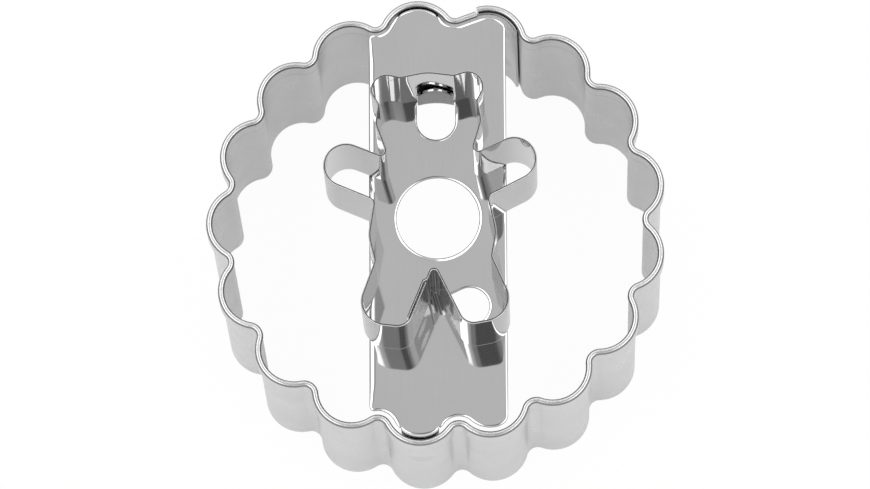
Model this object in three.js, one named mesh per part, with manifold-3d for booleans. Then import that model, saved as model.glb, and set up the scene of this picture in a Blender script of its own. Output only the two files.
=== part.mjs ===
// A two-sided linzer cookie cutter: a scalloped ring with a rolled rim, a bridge plate across it and a
// teddy-bear outline standing on the plate. All three are bent from thin sheet and joined by spot welds.
// Millimetres, +Z up. The ring stands on its cutting edge at z = 0, the plate runs along Y.

import * as THREE from 'three';
import { mergeVertices } from 'three/addons/utils/BufferGeometryUtils.js';
import Module from 'manifold-3d';

const wasm = await Module();
wasm.setup();

// Scalloped ring. Radii are those of the strip's inner face. The ring is a little longer one way than the
// other: the oval is what its long half gains and its short half loses.
const scallopCount = 17;
const ringCrestRadius = 24.7;
const scallopRadius = 3.72;
const valleyRadius = 1.5;
const ringOval = 0.17;
const ringOvalAngle = THREE.MathUtils.degToRad(45);
const ringHeight = 23;
const ringSheet = 0.28;
const rearScallopAngle = THREE.MathUtils.degToRad(5.43);

// Rolled rim: the upper edge is folded outwards and flattened.
const hemThickness = 0.34;
const hemHeight = 3;
const rimRounding = 0.2;

// Lap of the ring's two ends, beside the rear scallop.
const ringLapLength = 4.9;
const ringButtGap = 0.25;

// Bridge plate, its top level with the rim and its middle a little to the right of the ring's.
const plateSheet = 0.35;
const plateWidth = 15.1;
const plateX = 0.15;
const plateEndGap = 0.52;
const pushHoleRadius = 4.68;
const pushHoleX = 0.31;
const pushHoleY = 0.38;

// Plate ends bent down against the ring. The bend is the inner one at the tab's sides, where it is tightest.
const endTabWidth = 4.1;
const endTabLength = 10.5;
const endTabBend = 0.1;

// Tabs lanced out of the plate and bent up inside the bear.
const lancedTabWidth = 4;
const lancedTabHeight = 3.7;
const lancedSlit = 0.12;
const headTabX = 0;

// Bear outline, a strip that stands on the plate, turned a little and set off the middle.
const bearSheet = 0.22;
const bearHeight = 10;
const bearX = -0.37;
const bearY = -0.12;
const bearTurn = THREE.MathUtils.degToRad(1.8);

// Pins that the bear's strip is bent round, on the right half from the crotch up to the crown. They are
// given for the middle of the sheet. A positive bend is round a pin inside the figure.
const crotch = { x: 0, y: -8.36, bend: -0.47 };
const footInner = { x: 4.15, y: -12.45, bend: 1.65 };
const footOuter = { x: 5.3, y: -11.3, bend: 2.62 };
const waist = { x: 7.14, y: -6.68, bend: -0.8 };
const belly = { x: 2.83, y: -3.88, bend: 4 };
const armpit = { x: 6.94, y: -0.36, bend: -0.7 };
const armTip = { x: 9.12, y: 4.07, bend: 2.38 };
const neck = { x: 5.36, y: 5.62, bend: -0.56 };
const cheek = { x: 3.88, y: 8.7, bend: 1.8 };
const earRoot = { x: 6.06, y: 10.65, bend: -0.66 };
const ear = { x: 4.42, y: 12.42, bend: 1.66 };
const earDip = { x: 2.88, y: 14.62, bend: -0.86 };
const crown = { x: 0, y: 9.15, bend: 5 };

// Lap of the bear's two ends, on the left inner thigh.
const bearLapLength = 4.3;
const bearLapFromCrotch = 1.3;
const bearJogLength = 0.5;
const bearJogBend = 0.2;

// Spot welds. A weld fills the gap between two sheets, less a sliver on each side.
const weldGap = 0.2;
const weldSliver = 0.05;
const weldRadius = 0.9;
const ringSeamWeldUpper = 17;
const ringSeamWeldLower = 6;
const endTabWeldDrop = 8.2;
const bearSeamWeldUpper = 7.5;
const bearSeamWeldLower = 2.5;
const lancedTabWeldRise = 1.8;

// Fineness of the round stretches, and the distance at which points of a solid count as one.
const arcStep = THREE.MathUtils.degToRad(15);
const roundSegments = 48;
const weldSegments = 16;
const endTabSections = 10;
const mergeDistance = 1e-5;

const rimTop = ringHeight;
const plateTop = rimTop;
const plateBottom = plateTop - plateSheet;
const quarterTurn = Math.PI / 2;
const reach = 2 * ringCrestRadius;

// Strips bent round pins.

// Heading of the straight run from one pin to the next.
function headingBetween(from, to) {
  const dx = to.x - from.x;
  const dy = to.y - from.y;
  const rise = (to.bend - from.bend) / Math.hypot(dx, dy);
  return Math.atan2(dy, dx) - Math.asin(THREE.MathUtils.clamp(rise, -1, 1));
}

// Point of a strip at a pin, where it runs in the given heading. The offset is to the right of the heading.
function pointAt(pin, heading, offset) {
  const radius = pin.bend + offset;
  return new THREE.Vector2(pin.x + radius * Math.sin(heading), pin.y - radius * Math.cos(heading));
}

// Points of an arc about a centre, between two angles.
function arc(x, y, radius, from, to) {
  const steps = Math.ceil(Math.abs(to - from) / arcStep);
  const points = [];
  for (let i = 0; i <= steps; i++) {
    const angle = from + (to - from) * i / Math.max(steps, 1);
    points.push(new THREE.Vector2(x + radius * Math.cos(angle), y + radius * Math.sin(angle)));
  }
  return points;
}

// Points along one bend, from the heading in which the strip comes to the one in which it leaves.
function bendPoints(pin, headingIn, headingOut, offset) {
  const side = Math.sign(pin.bend);
  const slack = arcStep / 2;
  const turn = THREE.MathUtils.euclideanModulo(side * (headingOut - headingIn) + slack, 2 * Math.PI) - slack;
  const from = headingIn - quarterTurn;
  return arc(pin.x, pin.y, pin.bend + offset, from, from + side * Math.max(turn, 0));
}

// One face of an open strip. The first and last headings trim the end bends.
function faceOf(pins, offset, firstHeading, lastHeading) {
  const runs = pins.slice(1).map((pin, i) => headingBetween(pins[i], pin));
  const headingsIn = [firstHeading ?? runs[0], ...runs];
  const headingsOut = [...runs, lastHeading ?? runs.at(-1)];
  return pins.flatMap((pin, i) => bendPoints(pin, headingsIn[i], headingsOut[i], offset));
}

// Closed outline round a ring of pins.
function outlineOf(pins, offset) {
  return pins.flatMap((pin, i) => {
    const before = pins.at(i - 1);
    const after = pins[(i + 1) % pins.length];
    return bendPoints(pin, headingBetween(before, pin), headingBetween(pin, after), offset);
  });
}

// Plan outline of an open strip between two offsets.
function stripShape(pins, inner, outer, firstHeading, lastHeading) {
  const outside = faceOf(pins, outer, firstHeading, lastHeading);
  const inside = faceOf(pins, inner, firstHeading, lastHeading);
  return new THREE.Shape([...outside, ...inside.reverse()]);
}

// Solids.

function upright(shape, bottom, top, rounding = 0) {
  const geometry = new THREE.ExtrudeGeometry(shape, {
    depth: top - bottom - 2 * rounding,
    bevelEnabled: rounding > 0,
    bevelThickness: rounding,
    bevelSize: rounding,
    bevelOffset: -rounding,
    bevelSegments: 1,
  });
  return geometry.translate(0, 0, bottom + rounding);
}

function toSolid(geometry) {
  const bare = geometry.clone();
  bare.deleteAttribute('normal');
  bare.deleteAttribute('uv');
  const merged = mergeVertices(bare, mergeDistance);
  return new wasm.Manifold(new wasm.Mesh({
    numProp: 3,
    vertProperties: new Float32Array(merged.attributes.position.array),
    triVerts: new Uint32Array(merged.index.array),
  }));
}

function toGeometry(solid) {
  const mesh = solid.getMesh();
  const geometry = new THREE.BufferGeometry();
  geometry.setAttribute('position', new THREE.BufferAttribute(mesh.vertProperties, 3));
  geometry.setIndex(new THREE.BufferAttribute(mesh.triVerts, 1));
  return geometry;
}

function block(x0, x1, y0, y1, z0, z1) {
  const box = new THREE.BoxGeometry(x1 - x0, y1 - y0, z1 - z0);
  return toSolid(box.translate((x0 + x1) / 2, (y0 + y1) / 2, (z0 + z1) / 2));
}

function post(x, y, radius, bottom, top) {
  const cylinder = new THREE.CylinderGeometry(radius, radius, top - bottom, roundSegments);
  return toSolid(cylinder.rotateX(quarterTurn).translate(x, y, (bottom + top) / 2));
}

// Ring turned about a vertical axis at a pin, from a closed profile of radius and height.
function turned(profile, pin) {
  const lathe = new THREE.LatheGeometry([...profile, profile[0]], roundSegments);
  return toSolid(lathe.rotateX(quarterTurn).translate(pin.x, pin.y, 0));
}

// Solid through a row of closed sections, each with equally many points.
function lofted(sections) {
  const size = sections[0].length;
  const lid = THREE.ShapeUtils.triangulateShape(sections[0].map((p) => new THREE.Vector2(p.y, p.z)), []);
  const last = (sections.length - 1) * size;
  const index = lid.flatMap(([a, b, c]) => [c, b, a, last + a, last + b, last + c]);
  for (let start = 0; start < last; start += size) {
    for (let i = 0; i < size; i++) {
      const near = start + i;
      const next = start + (i + 1) % size;
      index.push(near, next, next + size, near, next + size, near + size);
    }
  }
  return new THREE.BufferGeometry().setFromPoints(sections.flat()).setIndex(index);
}

// Pins of the scalloped ring: a crest pin in the middle of each scallop, and a valley pin that touches two
// of them from outside, or stands between them where the scallops are too small to meet it.
const pitch = 2 * Math.PI / scallopCount;
const rearScallopHeading = quarterTurn + rearScallopAngle;

function crestPin(index, inset = 0) {
  const angle = rearScallopHeading + index * pitch;
  const radius = ringCrestRadius - scallopRadius + ringOval * Math.cos(2 * (angle - ringOvalAngle));
  return { x: radius * Math.cos(angle), y: radius * Math.sin(angle), bend: scallopRadius - inset };
}

function valleyPin(index) {
  const from = crestPin(index);
  const to = crestPin(index + 1);
  const outward = Math.atan2(to.y - from.y, to.x - from.x) - quarterTurn;
  const halfChord = Math.hypot(to.x - from.x, to.y - from.y) / 2;
  const out = Math.sqrt(Math.max((scallopRadius + valleyRadius) ** 2 - halfChord ** 2, 0));
  const x = (from.x + to.x) / 2 + out * Math.cos(outward);
  const y = (from.y + to.y) / 2 + out * Math.sin(outward);
  return { x, y, bend: -valleyRadius };
}

const scallops = [...Array(scallopCount).keys()];
const frontScallop = Math.floor(scallopCount / 2);
const lapScallop = scallopCount - 1;
const rearPin = crestPin(0);
const frontPin = crestPin(frontScallop);

// The strip starts under the lap, jogs out to its place and goes once round to the butt.
const lapPin = crestPin(-1, ringSheet + weldGap);
const onceRound = scallops.flatMap((i) => [crestPin(i), valleyPin(i)]);
const ringPins = [lapPin, valleyPin(-1), ...onceRound.slice(0, -1)];
const buttHeading = headingBetween(lapPin, valleyPin(-1));
const lapStartHeading = buttHeading - ringLapLength / lapPin.bend;
const stripEndHeading = buttHeading - ringButtGap / scallopRadius;

function makeScallopedRing() {
  const wallShape = stripShape(ringPins, 0, ringSheet, lapStartHeading, stripEndHeading);
  const rimShape = stripShape(ringPins, 0, ringSheet + hemThickness, buttHeading, stripEndHeading);
  const wall = toSolid(upright(wallShape, 0, rimTop - rimRounding));
  const rim = toSolid(upright(rimShape, rimTop - hemHeight, rimTop, rimRounding));
  return toGeometry(wall.add(rim));
}

// The bear's own frame on the plate.
const bearFrame = new THREE.Matrix4().makeRotationZ(bearTurn).setPosition(bearX, bearY, 0);

function onPlate(pin) {
  const place = new THREE.Vector3(pin.x, pin.y, 0).applyMatrix4(bearFrame);
  return { x: place.x, y: place.y, bend: pin.bend };
}

const mirrored = (pin) => ({ x: -pin.x, y: pin.y, bend: pin.bend });
const rightSide = [footInner, footOuter, waist, belly, armpit, armTip, neck, cheek, earRoot, ear, earDip];
const leftSide = rightSide.toReversed().map(mirrored);
const bearRound = [crotch, ...rightSide, crown, ...leftSide].map(onPlate);

// The left thigh runs from the inner foot pin to the crotch pin. One end of the strip stops short of the
// crotch, the other jogs to the leg's side of it and runs down beside it.
const bearHalfSheet = bearSheet / 2;
const leftFoot = bearRound.at(-1);
const thighHeading = headingBetween(leftFoot, bearRound[0]);
const thighTop = pointAt(bearRound[0], thighHeading, 0);

// Point beside the left thigh: a distance down from the crotch and a distance into the leg.
function besideThigh(down, into) {
  const along = new THREE.Vector2(Math.cos(thighHeading), Math.sin(thighHeading));
  const across = new THREE.Vector2(-along.y, along.x);
  return thighTop.clone().addScaledVector(along, -down).addScaledVector(across, into);
}

function thighPin(down, into, bend) {
  const place = besideThigh(down, into);
  return { x: place.x, y: place.y, bend };
}

const bearLapStep = bearSheet + weldGap;
const bearLapEnd = bearLapFromCrotch + bearLapLength;
const bearPins = [
  thighPin(bearLapEnd, bearLapStep, 0),
  thighPin(bearLapFromCrotch, bearLapStep - bearJogBend, -bearJogBend),
  thighPin(bearLapFromCrotch - bearJogLength, bearJogBend, bearJogBend),
  ...bearRound,
  thighPin(bearLapFromCrotch, 0, 0),
];
const bearInnerFace = faceOf(bearPins, -bearHalfSheet);

function makeBearCutter() {
  const shape = stripShape(bearPins, -bearHalfSheet, bearHalfSheet);
  return upright(shape, plateTop, plateTop + bearHeight);
}

// Lowest place of the head's inner face between two places across the plate.
function headWallOver(left, right) {
  const middle = onPlate(crown).y;
  const heights = [];
  for (let i = 1; i < bearInnerFace.length; i++) {
    const run = [bearInnerFace[i - 1], bearInnerFace[i]];
    const crossing = (x) => run[0].y + (run[1].y - run[0].y) * (x - run[0].x) / (run[1].x - run[0].x);
    const from = Math.max(Math.min(run[0].x, run[1].x), left);
    const to = Math.min(Math.max(run[0].x, run[1].x), right);
    if (from < to && run[0].y > middle) {
      heights.push(crossing(from), crossing(to));
    }
  }
  return Math.min(...heights);
}

// Place of a weld or a lanced tab against a wall: x along the wall, y towards it from inside the figure.
function wallPlace(point, heading) {
  return new THREE.Matrix4().makeRotationZ(heading + Math.PI).setPosition(point.x, point.y, plateTop);
}

// The head's tab stands across the plate, clear of the lowest part of the wall behind it.
const headTabHalf = lancedTabWidth / 2;
const headTabY = headWallOver(headTabX - headTabHalf, headTabX + headTabHalf) - weldGap;
const headTabPlace = wallPlace({ x: headTabX, y: headTabY }, Math.PI);
const headWeldGap = headWallOver(headTabX - weldRadius, headTabX + weldRadius) - headTabY;

// The leg's tab stands behind the middle of the right inner thigh.
const rightThigh = [bearRound[0], bearRound[1]];
const rightThighHeading = headingBetween(...rightThigh);
const rightThighFace = rightThigh.map((pin) => pointAt(pin, rightThighHeading, -bearHalfSheet - weldGap));
const legTabPoint = rightThighFace[0].add(rightThighFace[1]).divideScalar(2);
const legTabPlace = wallPlace(legTabPoint, rightThighHeading);

// Welds in the bear's lap sit on the outer side of its inner layer, half way along.
const bearSeamPoint = besideThigh(bearLapFromCrotch + bearLapLength / 2, bearHalfSheet + weldGap);
const bearSeamPlace = wallPlace(bearSeamPoint, thighHeading);

// Upright outline with a round top, standing on its root.
function roundEnded(width, length) {
  const half = width / 2;
  return new THREE.Shape([
    new THREE.Vector2(-half, 0),
    new THREE.Vector2(half, 0),
    ...arc(0, length - half, half, 0, Math.PI),
  ]);
}

const axisX = new THREE.Vector3(1, 0, 0);
const axisY = new THREE.Vector3(0, 1, 0);
const axisZ = new THREE.Vector3(0, 0, 1);
const faceToWall = new THREE.Matrix4().makeBasis(axisX, axisZ, axisY.clone().negate());
const alongWall = new THREE.Matrix4().makeBasis(axisY, axisZ, axisX);

// Window that a lanced tab leaves in the plate.
function lancedWindow(place) {
  const length = plateSheet + lancedTabHeight + lancedSlit;
  const outline = roundEnded(lancedTabWidth + 2 * lancedSlit, length);
  return toSolid(upright(outline, -2 * plateSheet, plateSheet).rotateZ(Math.PI).applyMatrix4(place));
}

// A lanced tab: a round-ended blade that stands up from its bend.
function lancedTab(place) {
  const blade = upright(roundEnded(lancedTabWidth, lancedTabHeight), 0, plateSheet);
  const bend = new THREE.Shape([
    new THREE.Vector2(plateSheet, 0),
    new THREE.Vector2(0, 0),
    new THREE.Vector2(0, plateSheet),
    new THREE.Vector2(-plateSheet, plateSheet),
    ...arc(0, 0, plateSheet, Math.PI, 3 * quarterTurn),
    new THREE.Vector2(plateSheet, -plateSheet),
  ]);
  const root = upright(bend, -lancedTabWidth / 2, lancedTabWidth / 2);
  const bladeSolid = toSolid(blade.applyMatrix4(faceToWall).applyMatrix4(place));
  return bladeSolid.add(toSolid(root.applyMatrix4(alongWall).applyMatrix4(place)));
}

// An end tab is bent down along a straight line across the plate's end lobe. Its blade follows the scallop
// it is welded in, so the bend is widest in the middle.
const endTabHalf = endTabWidth / 2;
const endTabFace = scallopRadius - weldGap;
const endTabRoot = endTabFaceAt(endTabHalf) - plateSheet - endTabBend;

// Distance of the blade's outer face from the crest pin along the plate, at a place across the tab.
function endTabFaceAt(across) {
  return Math.sqrt(endTabFace ** 2 - across ** 2);
}

function endTabSection(across) {
  const face = endTabFaceAt(across);
  const outerBend = face - endTabRoot;
  const bendHeight = plateTop - outerBend;
  const foot = plateTop - endTabLength;
  const outline = [
    new THREE.Vector2(face, foot),
    ...arc(endTabRoot, bendHeight, outerBend, 0, quarterTurn),
    new THREE.Vector2(endTabRoot - plateSheet, plateTop),
    new THREE.Vector2(endTabRoot - plateSheet, plateBottom),
    ...arc(endTabRoot, bendHeight, outerBend - plateSheet, quarterTurn, 0),
    new THREE.Vector2(face - plateSheet, foot),
  ];
  return outline.map((point) => new THREE.Vector3(across, point.x, point.y));
}

// A shape made for the rear end of the plate, taken to a crest pin and turned round for the front one.
function atEnd(geometry, pin) {
  return toSolid(geometry.rotateZ(pin.y > 0 ? 0 : Math.PI).translate(pin.x, pin.y, 0));
}

function endTab(pin) {
  const sections = [];
  for (let i = 0; i <= endTabSections; i++) {
    sections.push(endTabSection(endTabWidth * i / endTabSections - endTabHalf));
  }
  return atEnd(lofted(sections), pin);
}

// What is cut from the plate's end lobe so that only the tab leaves it there.
function endCut(pin) {
  const crest = new THREE.BoxGeometry(2 * scallopRadius, reach, reach);
  return atEnd(crest.translate(0, endTabRoot + reach / 2, plateTop), pin);
}

// The plate's ends run parallel to the ring's inside, and to its inner layer at the lap.
function makeBridgePlate() {
  const facing = scallops.map((i) => crestPin(i, i === lapScallop ? ringSheet + weldGap : 0));
  const insidePins = scallops.flatMap((i) => [facing[i], valleyPin(i)]);
  const outline = new THREE.Shape(outlineOf(insidePins, -plateEndGap));
  const lobed = toSolid(upright(outline, plateBottom, plateTop));
  const half = plateWidth / 2;
  const below = plateBottom - plateSheet;
  const above = plateTop + plateSheet;
  const endPins = [rearPin, frontPin];
  const tabPlaces = [headTabPlace, legTabPlace];
  let plate = lobed.intersect(block(plateX - half, plateX + half, -reach, reach, below, above));
  plate = plate.subtract(post(pushHoleX, pushHoleY, pushHoleRadius, below, above));
  for (const pin of endPins) {
    plate = plate.subtract(endCut(pin)).add(endTab(pin));
  }
  for (const place of tabPlaces) {
    plate = plate.subtract(lancedWindow(place)).add(lancedTab(place));
  }
  return toGeometry(plate);
}

// A weld between two flat sheets a gap apart, at a height on them.
function flatWeld(place, rise, gap) {
  const disc = new THREE.CylinderGeometry(weldRadius, weldRadius, gap - 2 * weldSliver, weldSegments);
  return disc.translate(0, gap / 2, rise).applyMatrix4(place);
}

// A weld in the round gap inside a scallop, at a direction from its pin and a height.
function scallopWeld(pin, direction, height) {
  const inner = endTabFace + weldSliver;
  const outer = scallopRadius - weldSliver;
  const bottom = height - 2 * weldRadius;
  const top = height + 2 * weldRadius;
  const band = turned([
    new THREE.Vector2(outer, bottom),
    new THREE.Vector2(outer, top),
    new THREE.Vector2(inner, top),
    new THREE.Vector2(inner, bottom),
  ], pin);
  const core = new THREE.CylinderGeometry(weldRadius, weldRadius, 2 * scallopRadius, weldSegments);
  core.translate(0, scallopRadius, 0).rotateZ(direction - quarterTurn).translate(pin.x, pin.y, height);
  return toGeometry(band.intersect(toSolid(core)));
}

const lapPlainPin = crestPin(lapScallop);
const lapMiddle = (lapStartHeading + stripEndHeading) / 2 - quarterTurn;
const endTabWeldHeight = plateTop - endTabWeldDrop;

// The assembly.

const steel = { metalness: 1, roughness: 0.12 };
const ringLook = { color: 0xc9cacb, ...steel };
const plateLook = { color: 0xc4c5c6, ...steel };
const bearLook = { color: 0xcbcccd, ...steel };
const weldLook = { color: 0xa9a8a6, ...steel };
const pieces = [
  ['scalloped_ring', makeScallopedRing(), ringLook],
  ['bridge_plate', makeBridgePlate(), plateLook],
  ['bear_cutter', makeBearCutter(), bearLook],
  ['ring_seam_weld_upper', scallopWeld(lapPlainPin, lapMiddle, ringSeamWeldUpper), weldLook],
  ['ring_seam_weld_lower', scallopWeld(lapPlainPin, lapMiddle, ringSeamWeldLower), weldLook],
  ['rear_tab_weld', scallopWeld(rearPin, quarterTurn, endTabWeldHeight), weldLook],
  ['front_tab_weld', scallopWeld(frontPin, -quarterTurn, endTabWeldHeight), weldLook],
  ['head_tab_weld', flatWeld(headTabPlace, lancedTabWeldRise, headWeldGap), weldLook],
  ['leg_tab_weld', flatWeld(legTabPlace, lancedTabWeldRise, weldGap), weldLook],
  ['bear_seam_weld_upper', flatWeld(bearSeamPlace, bearSeamWeldUpper, weldGap), weldLook],
  ['bear_seam_weld_lower', flatWeld(bearSeamPlace, bearSeamWeldLower, weldGap), weldLook],
];

const cutter = new THREE.Group();
for (const [name, geometry, look] of pieces) {
  const mesh = new THREE.Mesh(geometry, new THREE.MeshStandardMaterial(look));
  mesh.name = name;
  cutter.add(mesh);
}

// The origin is the middle of the footprint, on the surface that the ring stands on.
const footprint = new THREE.Box3().setFromObject(cutter).getCenter(new THREE.Vector3());
cutter.position.set(-footprint.x, -footprint.y, 0);

export default cutter;
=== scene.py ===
import math

import bpy
from mathutils import Matrix, Vector
from mathutils.geometry import delaunay_2d_cdt


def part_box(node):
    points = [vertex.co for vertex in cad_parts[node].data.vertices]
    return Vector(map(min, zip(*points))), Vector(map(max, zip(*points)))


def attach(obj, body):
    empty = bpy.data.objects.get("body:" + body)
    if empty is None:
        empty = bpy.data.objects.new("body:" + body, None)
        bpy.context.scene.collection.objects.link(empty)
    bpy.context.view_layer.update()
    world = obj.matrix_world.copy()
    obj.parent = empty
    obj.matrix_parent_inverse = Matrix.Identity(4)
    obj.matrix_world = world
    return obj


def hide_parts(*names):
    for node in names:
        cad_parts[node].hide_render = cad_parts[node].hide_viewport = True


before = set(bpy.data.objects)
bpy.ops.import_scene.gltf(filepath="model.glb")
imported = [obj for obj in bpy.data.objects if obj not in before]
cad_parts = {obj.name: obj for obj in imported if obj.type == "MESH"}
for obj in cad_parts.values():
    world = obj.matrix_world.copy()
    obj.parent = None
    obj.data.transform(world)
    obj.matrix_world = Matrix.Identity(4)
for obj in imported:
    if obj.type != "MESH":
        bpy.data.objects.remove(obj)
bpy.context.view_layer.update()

bpy.context.scene.view_settings.view_transform = "Standard"

UP = Vector((0, 0, 1))
MM = 0.001
MM_PER_METRE = 1000
POINTS_PER_MM = 2000

# Sizes of the part in millimetres. Most are those of its source. The laps' gaps, the plate's bends, hole and
# rear gap, and the head tab are set closer to the photo.
RING_AXIS = Vector((0.1597, 0.0412))
SCALLOPS = 17
CREST_RADIUS = 24.7
SCALLOP = 3.72
VALLEY = 1.5
OVAL = 0.17
OVAL_ANGLE = math.radians(45)
REAR_ANGLE = math.radians(90 + 5.43)
RIM_TOP = 23.0
RING_SHEET = 0.28
HEM_THICKNESS = 0.34
HEM_HEIGHT = 3.0
LAP_LENGTH = 4.9
LAP_TOP = 22.8
RING_LAP_GAP = 0.15
BUTT_GAP = 0.25
GAP = 0.2

PLATE_SHEET = 0.35
PLATE_WIDTH = 15.1
PLATE_X = 0.15
PLATE_CORNER = 0.85
REAR_GAP = 0.36
FRONT_GAP = 0.52
HOLE = (0.15, 0.31, 4.56)
END_TAB_WIDTH = 4.1
END_TAB_LENGTH = 10.5
END_TAB_CORNER = 0.9
REAR_BEND = 0.45
FRONT_BEND = 0.64
LANCED_WIDTH = 4.0
LANCED_HEIGHT = 3.7
LANCED_SLIT = 0.12
LANCED_BEND = 0.1
HEAD_TAB_HEIGHT = 4.9
HEAD_BOW = 7.2
LEG_BOW = 1e4

BEAR_SHEET = 0.22
BEAR_TOP = 33.0
BEAR_PLACE = (-0.37, -0.12, math.radians(1.8))
CROTCH = (0, -8.36, -0.47)
RIGHT_SIDE = [
    (4.15, -12.45, 1.65), (5.3, -11.3, 2.62), (7.14, -6.68, -0.8), (2.83, -3.88, 4.0), (6.94, -0.36, -0.7),
    (9.12, 4.07, 2.38), (5.36, 5.62, -0.56), (3.88, 8.7, 1.8), (6.06, 10.65, -0.66), (4.42, 12.42, 1.66),
    (2.88, 14.62, -0.86),
]
CROWN = (0, 9.15, 5.0)
BEAR_LAP_LENGTH = 4.3
BEAR_LAP_GAP = 0.08
BEAR_LAP_FROM_CROTCH = 1.3
BEAR_JOG_LENGTH = 0.5
BEAR_JOG_BEND = 0.2

# Edges of the strips: roundings, and the rim's small bead, which tapers off between two depths.
RING_EDGE_ROUND = 0.05
HEM_ROOT_ROUND = 0.02
HEM_EDGE_ROUND = 0.09
BEAD = 0.09
BEAD_ROUND = 0.15
BEAD_TAPER = (0.55, 0.75)
BEAR_FOOT_ROUND = 0.1
BEAR_OUTER_ROUND = 0.12
BEAR_INNER_ROUND = 0.02
LANCED_EDGE_ROUND = 0.12

# Where hand bending left the bear's wall off plumb, shown by its shading normals alone: place, reach, and
# degrees outwards at the foot and at the top.
LEANS = [
    ((-5.2, 12.2), 4.0, 2.5, 4.0), ((6.7, 5.3), 2.8, 12.0, 12.0), ((-7.3, 5.0), 2.8, 4.0, 4.0),
    ((5.7, 8.4), 4.2, -10.0, -9.0),
]

# The soft roll that punching leaves on the plate's upper edges, as (inset from the edge, tilt in degrees),
# the share of it at each edge, how it fades beside a tab and at a corner, and the burr below.
ROLL = [
    (0.95, 0), (0.8, 1.2), (0.66, 2.6), (0.54, 4.4), (0.44, 6.6), (0.37, 9), (0.3, 12.5), (0.23, 16.5),
    (0.16, 22), (0.1, 32), (0.055, 46), (0.02, 66), (0, 90),
]
LEFT_ROLL = 0.95
RIGHT_ROLL = 0.6
END_ROLL = 0.55
HOLE_ROLL = 0.55
WINDOW_ROLL = 0.45
WINDOW_ROLL_START = 0.45
ROLL_FADE = 0.7
CORNER_ROLL_LOSS = 0.25
SHARPEST_CORNER = 0.6
BURR = 0.03

# The same roll on the end tabs' sides: width, radius, the steeper break at the very edge, and how soon it
# grows in round the bend.
TAB_ROLL = 0.4
TAB_ROLL_RADIUS = 1.65
TAB_BREAK = 0.05
TAB_BREAK_SLOPE = 0.8
TAB_ROLL_GROWTH = 5

# The plate isn't quite flat, in its shading normals alone: a dip at the head, a twist and a faint wave.
HEAD_DIP = math.radians(1.6)
HEAD_DIP_START = 3.0
HEAD_DIP_LENGTH = 5.0
TWIST = 0.024
TWIST_LOSS = 0.5
WAVE = 0.003
WAVE_ALONG = (0.45, 1)
WAVE_ACROSS = (0.5, 0.3)

# How finely the surfaces are divided, and small allowances.
BEND_STEP = math.radians(5)
STRAIGHT_STEP = 0.6
TURN_SLACK = 0.1
SHORTEST_RUN = 0.05
RIM_STEPS = 7
HEM_STEP = 0.02
BEAR_EDGE_STEPS = 6
PLATE_GRID = 1.3
PLATE_GRID_CLEARANCE = 0.6
PLATE_CORNER_STEPS = 8
PLATE_CORNER_MARGIN = 1.05
PLATE_SIDE_STATIONS = (0.08, 0.92)
BURR_STEPS = 3
HOLE_STEPS = 96
WINDOW_STEPS = 32
END_EDGE_INSETS = (0, 0.02, 0.05, 0.1, 0.16, 0.23, 0.31, 0.4, 0.5)
END_MIDDLE_STEPS = 7
END_BEND_STEPS = 12
END_BLADE_STEPS = 6
TAB_STEPS = 8
LANCED_BEND_STEPS = 8
LANCED_ROUND_GROWTH = 3
LANCED_TOP_STEPS = 18
LANCED_TOP_TURN = math.radians(89.5)
LANCED_EDGE_STEPS = 3
WELD_STEPS = 32


class Solid:
    """A closed surface in millimetres, in the ring's own frame, with a normal for each corner of a face."""

    def __init__(self):
        self.places = []
        self.numbers = {}
        self.faces = []
        self.normals = []

    def number(self, p):
        key = (round(p[0] * POINTS_PER_MM), round(p[1] * POINTS_PER_MM), round(p[2] * POINTS_PER_MM))
        if key not in self.numbers:
            self.numbers[key] = len(self.places)
            self.places.append(Vector(p))
        return self.numbers[key]

    def face(self, corners):
        """A face through (place, normal) corners, counter-clockwise from outside."""
        kept = []
        for place, normal in corners:
            n = self.number(place)
            if n not in [k for k, _ in kept]:
                kept.append((n, normal))
        if len(kept) > 2:
            self.faces.append([k for k, _ in kept])
            self.normals.append([n for _, n in kept])

    def rows(self, rows, closed=False):
        """Quads between rows of corners. Seen from outside, the next row lies to the left of the last one."""
        for a, b in zip(rows, rows[1:]):
            count = len(a) if closed else len(a) - 1
            for j in range(count):
                k = (j + 1) % len(a)
                self.face([a[j], a[k], b[k], b[j]])

    def make(self, name, material, node):
        mesh = bpy.data.meshes.new(name)
        shift = Vector((RING_AXIS.x, RING_AXIS.y, 0))
        mesh.from_pydata([(p + shift) * MM for p in self.places], [], self.faces)
        mesh.polygons.foreach_set("use_smooth", [True] * len(mesh.polygons))
        mesh.update()
        mesh.normals_split_custom_set([n.normalized() for face in self.normals for n in face])
        mesh.materials.append(material)
        piece = bpy.data.objects.new(name, mesh)
        bpy.context.scene.collection.objects.link(piece)
        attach(piece, "root")
        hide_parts(node)


def rounded(corners, steps):
    """Closed outline round (u, v, rounding) corners, counter-clockwise, as (u, v, normal u, normal v)."""
    outline = []
    for i, (u, v, radius) in enumerate(corners):
        before = Vector((u, v)) - Vector(corners[i - 1][:2])
        after = Vector(corners[(i + 1) % len(corners)][:2]) - Vector((u, v))
        before.normalize()
        after.normalize()
        turn = math.atan2(before.x * after.y - before.y * after.x, before.dot(after))
        side = math.copysign(1, turn)
        start = Vector((u, v)) - before * radius * math.tan(abs(turn) / 2)
        middle = start + Vector((-before.y, before.x)) * radius * side
        right = Vector((before.y, -before.x))
        for k in range(steps + 1):
            normal = Matrix.Rotation(turn * k / steps, 2) @ right
            place = middle + normal * radius * side
            outline.append((place.x, place.y, normal.x, normal.y))
    return outline


def heading_between(a, b):
    """Heading of the straight run that touches two pins."""
    dx, dy = b[0] - a[0], b[1] - a[1]
    rise = (b[2] - a[2]) / math.hypot(dx, dy)
    return math.atan2(dy, dx) - math.asin(max(-1, min(1, rise)))


def right_of(heading):
    return Vector((math.sin(heading), -math.cos(heading)))


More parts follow.
